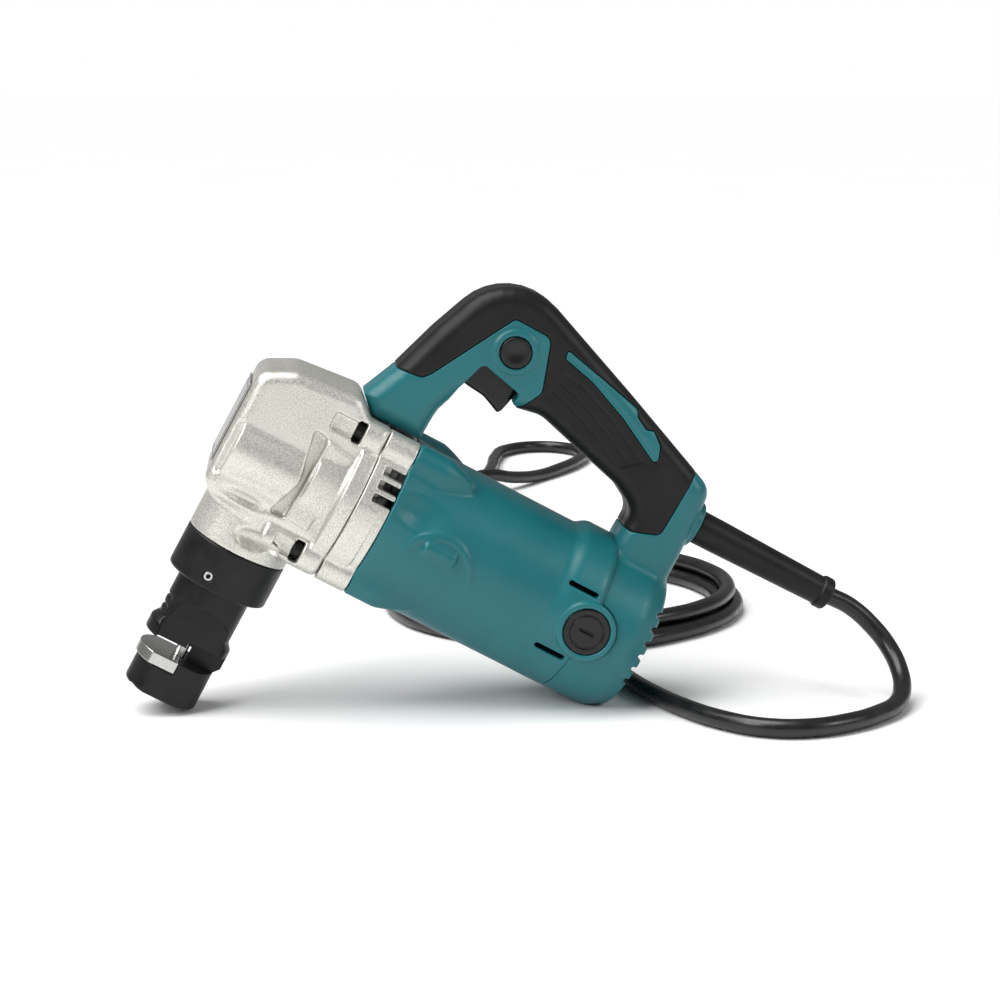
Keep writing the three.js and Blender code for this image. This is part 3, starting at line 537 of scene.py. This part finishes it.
def motor_housing(p):
    """The barrel with its bolt bosses, brush rings and rear bearing's bridge."""
    x, y, z = p
    a = np.abs(y)
    x0 = BARREL_X + GAP
    ring = np.hypot(y, z)
    swell = 0.9 * np.exp(-((x - x0) / 9) ** 2)
    body = both(ring - BARREL_R - swell, slab(x, x0, COVER_X), 0.6)
    for by, bz in BOLTS:
        r = BOSS_R - 5.6 * np.clip((x - 70) / 16, 0, 1) ** 1.3
        boss = both(np.hypot(y - by, z - bz) - r, slab(x, x0, 86), 1.2)
        body = either(body, boss, 4)
    top = both(np.hypot(y, z - 4) - 39.4, slab(x, 149, COVER_X), 3)
    body = either(body, top, 6)
    ring_boss = rod((x, a, z), 1, RING_R, 20, RING_Y, (BRUSH_X, 0), 1.4)
    body = either(body, ring_boss, 1.2)
    body = without(body, egg((x, a, z), (69, 41, 17.5), (13, 6.5, 10)), 2.5)
    crescent = without(np.hypot(x - 86, z + 8) - 19, np.hypot(x - 87, z + 9.5) - 17)
    arc = both(both(crescent, ring - BARREL_R - 0.8, 0.7), both(14 - a, -6 - z))
    body = either(body, arc, 1.2)
    lozenge = both(np.hypot(a - 38, z - 1) - 5, slab(x, 76, 94), 2.4)
    body = either(body, lozenge, 1.2)
    for vz in (-17.5, 17.5):
        body = without(body, block((x, a, z), 148, 164.3, 28, 60, vz - 1.3, vz + 1.3, 1.2), 0.4)
    body = without(body, rod(p, 0, STATOR_R, x0 - 5, COVER_X + 20))
    bridge = any_of(block(p, 176.5, 180.3, -37, 37, -9, 9, 0.8), rod(p, 0, 13.9, 177, 187, edge=0.6))
    walls = rod((x, a, z), 1, RING_R, 30, RING_Y, (BRUSH_X, 0), 1.4)
    body = any_of(body, bridge, without(walls, both(ring - STATOR_R, x - COVER_X)))
    arms = block((x, a, z), 168, 178, 30, 37, -9, 9, 0.8)
    body = any_of(body, arms)
    return without(body, any_of(
        rod(p, 0, 4.6, 170, 190),
        rod(p, 0, 11.1, 180.3, 190),
        rod(p, 1, 7.3, -60, 60, (BRUSH_X, 0)),
        rod((x, a, z), 1, CAP_R + GAP, 38.6, 60, (BRUSH_X, 0)),
        bolt_holes(p, x0 - 1, 71),
        block(p, x0 - 1, 56, -60, 60, TOP_Z, 90),
    ), 0.3)


HANDLE = [
    (18.9, 50.4, 1.5), (26.3, 67, 20), (35, 94, 20), (53.8, 141.5, 32), (135, 111, 60), (178, 94, 40),
    (194.5, 87.2, 10), (196.8, 50, 20), (197, 24), (COVER_X + 1.2, 24), (163.9, 44, 8), (164.4, 60, 9.5),
    (151, 67.5, 14), (101, 80.6, 14), (60.4, 72.5, 8), (54.6, 60, 20), (54, 42.3, 2), (27.2, 42.1, 4),
]
TRIGGER_BAY = [
    (57, 64), (58.2, 74), (63.3, 90.2, 3), (86, 85.2, 1.5), (85.4, 79.6, 1.5), (89.5, 77.4, 1), (89.5, 64),
]
GRIP = [
    (10, 66), (40, 70.6, 3), (43.2, 74.4, 4), (66.6, 116.8, 3), (86.6, 116.6, 5), (95.4, 91, 4),
    (90.2, 80.5, 3), (83, 76), (86, 66), (150, 50), (160, 51, 2), (168, 50.9, 4), (181.5, 56, 4),
    (182.5, 89, 2), (190, 110), (100, 170), (20, 150),
]
STRIP = [
    (96.4, 115.6, 1), (97.4, 110.9, 1), (114.5, 107.2, 20), (137, 98.3, 20), (164, 84.5, 2), (160, 95, 6),
    (153.6, 100.3, 2), (149.8, 98.8, 1), (143.4, 102.2, 1), (141.2, 106, 2),
]
PANEL = [(100, 106), (97, 92), (104, 84), (128, 79), (146, 74), (158, 84), (136, 95), (114, 104)]


def arch(p, inset, edge):
    """The handle's whole arch, moved in by a distance."""
    x, y, z = p
    return both(polygon(HANDLE, x, z) + inset, np.abs(y) - GRIP_HALF + inset, edge)


def grip_region(p):
    """Where the handle is rubber, seen from the side: all but the strip that is left bare."""
    x, _, z = p
    return without(polygon(GRIP, x, z), polygon(STRIP, x, z))


def left_half(p, way):
    return GAP / 2 - way * p[1]


def handle_shell(way):
    """One half of the handle with its half of the rear cover: way is -1 for the left and 1 for the right."""
    def field(p):
        x, y, z = p
        a = np.abs(y)
        grip = grip_region(p)
        teal = without(arch(p, 0, 8.5), grip - 0.12, 0.5)
        inner = arch(p, SKIN + GAP, 6.5)
        if way < 0:
            ring_boss = rod((x, a, z), 1, 11.2, 6, GRIP_HALF + 1.4, BUTTON, 1.6)
            teal = either(teal, both(ring_boss, 0.6 - grip), 1.2)
        body = any_of(teal, inner)
        line = np.abs(polygon(STRIP, x, z) + 1.7) - 0.45
        body = without(body, both(line, GRIP_HALF - 0.45 - a), 0.15)
        body = without(body, polygon(TRIGGER_BAY, x, z), 0.7)
        body = without(body, rod(p, 0, BARREL_R + 2 * GAP, 140, COVER_X + 0.2))
        cover = turned(p, 0, [(-9, COVER_X + GAP), (BARREL_R, COVER_X + GAP, 0.5), (BARREL_R, 190, 12),
                              (BARREL_R - 4.5, REAR_X, 3.5), (-9, REAR_X)])
        body = either(body, cover, 3)
        gland = rod(p, 0, 12, 180, 199.1, (0, GUARD_Z), 1.6)
        body = either(body, gland, 1.5)
        hollow = any_of(
            without(without(arch(p, SKIN + GAP + WALL, 3), block(p, 150, 240, -30, 30, -50, 46)),
                    block(p, 186.2, 240, -30, 30, 40, 99)),
            rod(p, 0, BARREL_R - WALL, COVER_X - 1, REAR_X - 3, edge=3),
            block(p, 168, 185, -11, 11, 30, 60),
        )
        posts = any_of(*[rod(p, 1, 5, -40, 40, (sx, sz)) for sx, sz, _ in SCREWS])
        body = without(body, without(hollow, posts))
        cuts = any_of(
            *[rod(p, 1, PIN_R, -9, 60, (sx, sz)) for sx, sz, _ in SCREWS],
            *[rod(p, 1, 3.9, sy - 3, 60, (sx, sz)) for sx, sz, sy in SCREWS],
            block(p, 57.4, 89.1, -9, 9, 70, 96),
            rod(p, 0, 6.6, 185, 205, (0, GUARD_Z)),
            without(rod(p, 0, 9.2, 189.6, 193.4, (0, GUARD_Z)), rod(p, 0, 6, 180, 200, (0, GUARD_Z))),
            rod((x, a, z), 1, RING_R + GAP, 26, 60, (BRUSH_X, 0)),
            block((x, a, z), BRUSH_X, 182, 28, 37.5, -9.4, 9.4),
        )
        if way < 0:
            cuts = any_of(cuts, rod(p, 1, BUTTON_R + 0.35, -30, 0, BUTTON))
        body = without(body, cuts, 0.4)
        for vz in (20, 12.8, 5.6, -1.6, -8.8, -16):  # the air vents of the rear cover
            body = without(body, block((x, a, z), REAR_X - 2.9, 210, 1, 40, vz, vz + 3, 0.8), 0.5)
        ground = 124.2 + z * math.cos(TILT) - x * math.sin(TILT)
        body = both(body, -ground)
        return both(body, left_half(p, way), 0.3)
    return field


def grip_skin(way):
    """The rubber over one half of the handle."""
    def field(p):
        x, y, z = p
        a = np.abs(y)
        outer = arch(p, 0, 8.5)
        strip = polygon(STRIP, x, z)
        body = both(outer, grip_region(p) + 0.12, 0.6)
        # Three fine lines follow the strip, on a panel a little lower than the rubber round it.
        side = GRIP_HALF - 0.9 - a
        panel = polygon(PANEL, x, z)
        body = without(body, both(panel + 1, GRIP_HALF - 0.35 - a, 0.2), 0.3)
        for away in (5, 10.5, 16):
            line = both(np.abs(strip - away) - 0.28, panel + 1.4)
            body = without(body, both(line, side), 0.2)
        body = without(body, arch(p, SKIN, 6.6))
        body = without(body, polygon(TRIGGER_BAY, x, z) - GAP, 0.4)
        body = without(body, any_of(*[rod(p, 1, 3.9, 8, 60, (sx, sz)) for sx, sz, _ in SCREWS]), 0.3)
        return both(body, left_half(p, way), 0.25)
    return field


def trigger(p):
    x, y, z = p
    side = [
        (58.9, 77, 1.8), (64.7, 76.2, 8), (71.6, 75.6, 8), (76.9, 73.5, 5), (81.9, 71.3, 1.2),
        (83.3, 73.3, 2), (84.6, 78.3, 2), (85.4, 84.6), (84, 90), (62, 97, 2),
    ]
    return both(polygon(side, x, z), np.abs(y) - 8.3, 2.2)


def lock_button(p):
    body = rod(p, 1, BUTTON_R, -19.4, -13.6, BUTTON, 0.9)
    return without(body, egg(p, (BUTTON[0], -24.4, BUTTON[1]), (9, 5.6, 9)), 0.5)


def front_plate(p):
    body = block(p, -32.3, -31.5, -21, 21, -12, 30, 0.35)
    line = np.abs(both(slab(p[1], -18.6, 18.6), slab(p[2], -9.6, 27.6), 3)) - 0.4
    return without(body, both(line, p[0] + 32.1), 0.1)


def lock_nut(p):
    body = turned(p, 2, [
        (22.9, NUT_TOP), (NUT_R, NUT_TOP, 0.7), (NUT_R, NUT_BOTTOM, 1.5), (HOLDER_R + GAP, NUT_BOTTOM, 0.4),
        (HOLDER_R + GAP, NUT_SEAT), (22.9, NUT_SEAT),
    ])
    return without(body, rod(p, 1, 2.6, -30, -22.6, NUT_SCREW), 0.3)


def die_holder(p):
    x, y, z = p
    a = np.abs(y)
    body = turned(p, 2, [
        (-5, HOLDER_BOTTOM), (HOLDER_R, HOLDER_BOTTOM, 1.6), (HOLDER_R, -110, 1), (21.6, -107, 1.5),
        (21.6, -96.5, 1.5), (HOLDER_R, -93, 1), (HOLDER_R, NUT_SEAT + GAP), (22.2, NUT_SEAT + GAP),
        (22.2, -58), (-5, -58),
    ])
    pocket = both(np.hypot(x - 1.5, z + 97) - 17.3, 10.2 - a, 2)
    body = without(body, both(pocket, DIE_TOP - z), 0.7)
    cuts = any_of(
        rod(p, 2, 9.2, -91, -57),
        rod(p, 2, PUNCH_R + GAP, DIE_BOTTOM - 1, -90),
        rod(p, 2, 5, HOLDER_BOTTOM - 1, DIE_BOTTOM + 0.5),
        block(p, -40, PUNCH_R + 1, -30, 30, DIE_TOP, THROAT_TOP),
        block(p, -40, 1.1, -30, 30, DIE_BOTTOM - GAP, DIE_TOP + 0.1),
        block((x, a, z), 1, 30, WEB_HALF, 30, DIE_TOP, THROAT_TOP + 3),
        block((x, a, z), -40, 40, FLAT_Y, 30, -140, DIE_TOP + 0.1),
        *[block(p, -40, -16.6, -30, 30, vz - 1, vz + 1, 0.4) for vz in (-84, -89)],
        *[rod(p, 2, DIE_SCREW_R, -140, -115, at) for at in DIE_BOLTS],
        *[rod(p, 2, DIE_SCREW_HEAD_R, -140, -127, at) for at in DIE_BOLTS],
    )
    return without(body, cuts, 0.5)


def die(p):
    x, y, _ = p
    body = both(rod(p, 2, 20.6, DIE_BOTTOM, DIE_TOP, edge=0.5), x - 0.8, 0.3)
    body = both(body, np.abs(y) - FLAT_Y, 0.3)
    return without(body, any_of(rod(p, 2, PUNCH_R + 0.1, -120, -105),
                                *[rod(p, 2, DIE_SCREW_R, -120, -112, at) for at in DIE_BOLTS]), 0.15)


def punch(p):
    return without(turned(p, 2, [
        (-2, -112.5), (PUNCH_R, -112.5, 0.3), (PUNCH_R, -78.5, 1), (4, -77.5, 0.5), (4, -62.3, 0.4),
        (-2, -62.3),
    ]), rod(p, 1, 2.3, -12, -2.6, (0, -70)), 0.2)


def die_bolt(at):
    def field(p):
        body = any_of(rod(p, 2, 4, -130.5, -127.3, at, 0.4), rod(p, 2, 2.05, -128, -112.4, at, 0.2))
        return without(body, hexagon(p[0] - at[0], p[1] - at[1], 1.7) + np.maximum(p[2] + 129, 0))
    return field


def hexagon(u, v, r):
    """A six-sided outline, r from its middle to a flat."""
    u, v = np.abs(u), np.abs(v)
    return np.maximum(u * math.cos(math.pi / 6) + v * 0.5, v) - r


def housing_bolt(at):
    def field(p):
        x, y, z = p
        head = rod(p, 0, 4.5, 22.4, 26.7, at, 0.6)
        body = any_of(head, rod(p, 0, 2.5, 26, 70, at, 0.3))
        socket = both(hexagon(y - at[0], z - at[1], 2.1), x - 24.8)
        return without(body, socket, 0.2)
    return field


def handle_screw(sx, sz, sy):
    def field(p):
        x, y, z = p
        body = any_of(rod(p, 1, 3.6, sy - 2.7, sy, (sx, sz), 0.7), rod(p, 1, 1.6, -8, sy - 1, (sx, sz), 0.2))
        u, v = np.abs(x - sx), np.abs(z - sz)
        cross = both(np.minimum(np.maximum(u - 2.3, v - 0.45), np.maximum(v - 2.3, u - 0.45)), sy - 1.3 - y)
        return without(body, cross, 0.15)
    return field


def lock_nut_screw(p):
    body = rod(p, 1, 2.3, -24.6, -23.2, NUT_SCREW, 0.3)
    return without(body, hexagon(p[0] - NUT_SCREW[0], p[2] - NUT_SCREW[1], 1.1))


def brush_cap(way):
    def field(p):
        x, y, z = p
        q = (x, way * y, z)
        body = rod(q, 1, CAP_R, 38.9, 42.2, (BRUSH_X, 0), 0.7)
        ring = np.hypot(x - BRUSH_X, z)
        body = without(body, both(np.abs(ring - 8.3) - 0.35, 41.7 - q[1]), 0.15)
        return without(body, block(q, BRUSH_X - 4, BRUSH_X + 4, 41, 50, -0.7, 0.7, 0.5), 0.25)
    return field


def cord_guard(p):
    return turned(p, 0, [
        (4.75, 190.3), (8.9, 190.3, 0.5), (8.9, 193.1, 0.5), (6.2, 193.1), (6.2, 199.5), (8.7, 199.5, 0.6),
        (8.6, 212, 8), (7.5, 271.4, 0.8), (8.5, 272.4, 1.4), (8.5, 277.8, 1.8), (4.75, 277.8, 1.2),
    ], (0, GUARD_Z))


def plug_body(p):
    x, y, _ = p
    body = block(p, -12, 12, -34, -9, -8, 8, 3.2)
    collar = turned(p, 1, [(4.75, -20), (7.9, -20), (7.9, -9, 2), (5.9, -0.4, 0.6), (4.75, -0.4, 0.4)])
    body = either(body, both(collar, -20 - y), 1.5)
    for k in range(4):
        rib = -13 - 4.2 * k
        body = without(body, both(slab(y, rib - 0.8, rib + 0.8), 11.2 - np.abs(x), 0.4), 0.5)
    return body


def plug_blade(at):
    def field(p):
        _, y, z = p
        body = block(p, at - 0.75, at + 0.75, -51.5, -32, -3.1, 3.1, 0.6)
        return without(body, np.hypot(y + 48.2, z) - 1.5, 0.1)
    return field


BODY = "tool_body"
sculpt("gear_housing", BODY, "cast_aluminium", (-32, -42, -58), (38, 42, 51), 0.65, gear_housing)
sculpt("bearing_box", BODY, "cast_aluminium", (38, -43, -43), (54, 43, 43), 0.5, bearing_box)
sculpt("front_plate", BODY, "bright_steel", (-32.3, -21, -12), (-31.5, 21, 30), 0.2, front_plate)
sculpt("motor_housing", BODY, "teal_moulding", (54, -44, -44), (188, 44, 45), 0.7, motor_housing)
for side, way in (("left", -1), ("right", 1)):
    reach = sorted((0, 42 * way))
    sculpt(f"handle_{side}", BODY, "teal_moulding", (18, reach[0], -42), (200, reach[1], 140), 0.6,
           handle_shell(way))
    reach = sorted((0, 18 * way))
    sculpt(f"grip_{side}", BODY, "grip_rubber", (20, reach[0], 48), (186, reach[1], 132), 0.5,
           grip_skin(way))
    reach = sorted((38.9 * way, 42.2 * way))
    sculpt(f"brush_cap_{side}", BODY, "black_plastic", (155, reach[0], -12), (179, reach[1], 12), 0.25,
           brush_cap(way))
sculpt("trigger", "trigger_body", "black_plastic", (57, -9, 70), (87, 9, 98), 0.35, trigger)
sculpt("lock_button", "lock_button_body", "black_plastic", (66, -20, 94), (83, -13, 111), 0.25, lock_button)
sculpt("lock_nut", "lock_nut_body", "black_oxide", (-27, -27, -70), (27, 27, -46), 0.35, lock_nut)
sculpt("lock_nut_screw", "lock_nut_body", "bright_steel", (-10, -25, -65), (-4, -23, -60), 0.12,
       lock_nut_screw)
sculpt("die_holder", "die_assembly", "black_oxide", (-23, -23, -132), (23, 23, -57), 0.35, die_holder)
sculpt("die", "die_assembly", "bright_steel", (-21, -17, -117), (1, 17, -109), 0.2, die)
sculpt("punch", "ram", "bright_steel", (-4, -4, -113), (4, 4, -62), 0.2, punch)
for k, at in enumerate(DIE_BOLTS):
    low, high = (at[0] - 4, at[1] - 4, -130.5), (at[0] + 4, at[1] + 4, -112.4)
    sculpt(f"die_bolt_{k + 1}", "die_assembly", "black_oxide", low, high, 0.2, die_bolt(at))
for k, at in enumerate(BOLTS):
    low, high = (22, at[0] - 5, at[1] - 5), (70, at[0] + 5, at[1] + 5)
    sculpt(f"housing_bolt_{k + 1}", BODY, "black_oxide", low, high, 0.25, housing_bolt(at))
for k, (sx, sz, sy) in enumerate(SCREWS):
    low, high = (sx - 4, -8, sz - 4), (sx + 4, sy, sz + 4)
    sculpt(f"handle_screw_{k + 1}", BODY, "black_oxide", low, high, 0.2, handle_screw(sx, sz, sy))
guard = sculpt("cord_guard", BODY, "grip_rubber", (190, -10, 57), (278, 10, 77), 0.35, cord_guard)

# ---- plug ----
PLUG_AT = Vector((-28, 392.5, 8.2))
FLAT = np.array(Matrix.Translation(PLUG_AT * MM) @ Matrix.Scale(MM, 4))
plug = sculpt("plug", BODY, "grip_rubber", (-12, -34, -8), (12, 0, 8), 0.35, plug_body, FLAT)
blades = [
    sculpt(f"plug_blade_{k + 1}", BODY, "brass", (at - 1, -52, -4), (at + 1, -31, 4), 0.15, plug_blade(at),
           FLAT)
    for k, at in enumerate((-6.35, 6.35))
]

# ---- cord ----
CORD_FRONT = [
    (220, -0.5, 44.8), (231, -3.5, 35.2), (238.8, -10, 24.8), (241.8, -20, 15.6), (240, -32.5, 9),
    (233.5, -46, 5.6), (221, -60, 5), (203, -73, 5), (181, -80.5, 5), (161, -77.5, 5), (144, -64, 5),
    (129, -41, 5), (116.5, -11, 5), (107, 24, 5), (102.5, 52, 5), (106, 74, 5), (114.5, 86.5, 5),
]
COIL = (98, 197)
CORD_BACK = [
    (61, 301, 8), (47, 322, 5), (40, 352, 5), (44, 400, 5), (57, 460, 5), (74, 530, 5), (88, 600, 5),
    (98, 650, 5), (105, 695, 5), (117, 729, 5), (144, 745, 5), (171, 731, 5), (178, 702, 5),
    (169, 671, 5), (152, 639, 5), (130, 608, 5), (108, 580, 9), (84, 560, 14.5), (58, 546, 9),
    (34, 532, 5), (12, 512, 5), (-4, 485, 5), (-17, 450, 6), (-26, 420, 7.4), (-28, 395, 8.5),
    (-28, 380, 8.4),
]


def coil_points():
    """Two turns on the floor, one inside the other, and then half a turn on top of them that leaves."""
    turns = np.arange(-64, 812, 20.0)
    radius = np.interp(turns, [-64, -50, 225, 285, 590, 650, 765, 800, 812],
                       [103.5, 101.8, 101.8, 92.3, 92.3, 96.9, 97.5, 102.5, 105.5])
    height = np.interp(turns, [-64, 590, 650, 765, 800, 812], [4.9, 4.9, 13.4, 13.6, 14.2, 13.4])
    return [
        (COIL[0] + r * math.cos(t), COIL[1] + r * math.sin(t), h)
        for t, r, h in zip(np.radians(turns), radius, height)
    ]


def smooth_curve(name, points, radius):
    data = bpy.data.curves.new(name, "CURVE")
    data.dimensions = "3D"
    data.bevel_depth = radius
    data.bevel_resolution = 6
    data.use_fill_caps = True
    data.resolution_u = 8
    line = data.splines.new("BEZIER")
    line.bezier_points.add(len(points) - 1)
    for knot, point in zip(line.bezier_points, points):
        knot.co = point
        knot.handle_left_type = knot.handle_right_type = "AUTO"
    made = bpy.data.objects.new(name, data)
    bpy.context.scene.collection.objects.link(made)
    return made


inside_guard = [tuple(TOOL @ Vector((x, 0, GUARD_Z))) for x in (203, 225, 250, 270, 279)]
route = [tuple(MM * c for c in point) for point in (*CORD_FRONT, *coil_points(), *CORD_BACK)]
cord = smooth_curve("cord", inside_guard + route, CORD_R * MM)
cord.data.materials.append(FINISHES["cord_sheath"])
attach(cord, BODY)
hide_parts("power_cord", "cord_coil", "cord_tail")

# ---- floor, light and air ----
def floor():
    data = bpy.data.meshes.new("floor")
    reach = 30
    data.from_pydata([(-reach, -reach, 0), (reach, -reach, 0), (reach, reach, 0), (-reach, reach, 0)], [],
                     [(0, 1, 2, 3)])
    paint = Paint("floor", 0.6, Specular_IOR_Level=0.2)
    colour = paint.mix(paint.noise(3, 2), (0.9, 0.9, 0.9), (0.93, 0.93, 0.93))
    paint.link(colour, "Base Color")
    data.materials.append(paint.material)
    made = bpy.data.objects.new("floor", data)
    bpy.context.scene.collection.objects.link(made)


def softbox(name, place, power, size, aim=(0.02, 0, 0.1)):
    data = bpy.data.lights.new(name, "AREA")
    data.energy = power
    data.size = size
    made = bpy.data.objects.new(name, data)
    made.location = place
    made.rotation_euler = (Vector(aim) - Vector(place)).to_track_quat("-Z", "Y").to_euler()
    bpy.context.scene.collection.objects.link(made)


floor()
sun = bpy.data.lights.new("overhead", "SUN")
sun.energy = 3.15
sun.angle = math.radians(50)
overhead = bpy.data.objects.new("overhead", sun)
overhead.rotation_euler = (math.radians(4), math.radians(-22), 0)
bpy.context.scene.collection.objects.link(overhead)
softbox("front_left", (-1.1, -0.9, 1.1), 11, 0.6)
softbox("front_right", (1.3, -0.7, 0.8), 5, 0.5)
world = bpy.data.worlds.new("world")
world.use_nodes = True
backdrop = world.node_tree.nodes["Background"]
backdrop.inputs["Color"].default_value = (1, 1, 1, 1)
seen = world.node_tree.nodes.new("ShaderNodeLightPath")
level = world.node_tree.nodes.new("ShaderNodeMapRange")
level.inputs["To Min"].default_value = 0.26
level.inputs["To Max"].default_value = 1.0
world.node_tree.links.new(seen.outputs["Is Camera Ray"], level.inputs["Value"])
world.node_tree.links.new(level.outputs[0], backdrop.inputs["Strength"])
bpy.context.scene.world = world
bpy.context.scene.view_settings.view_transform = "Standard"
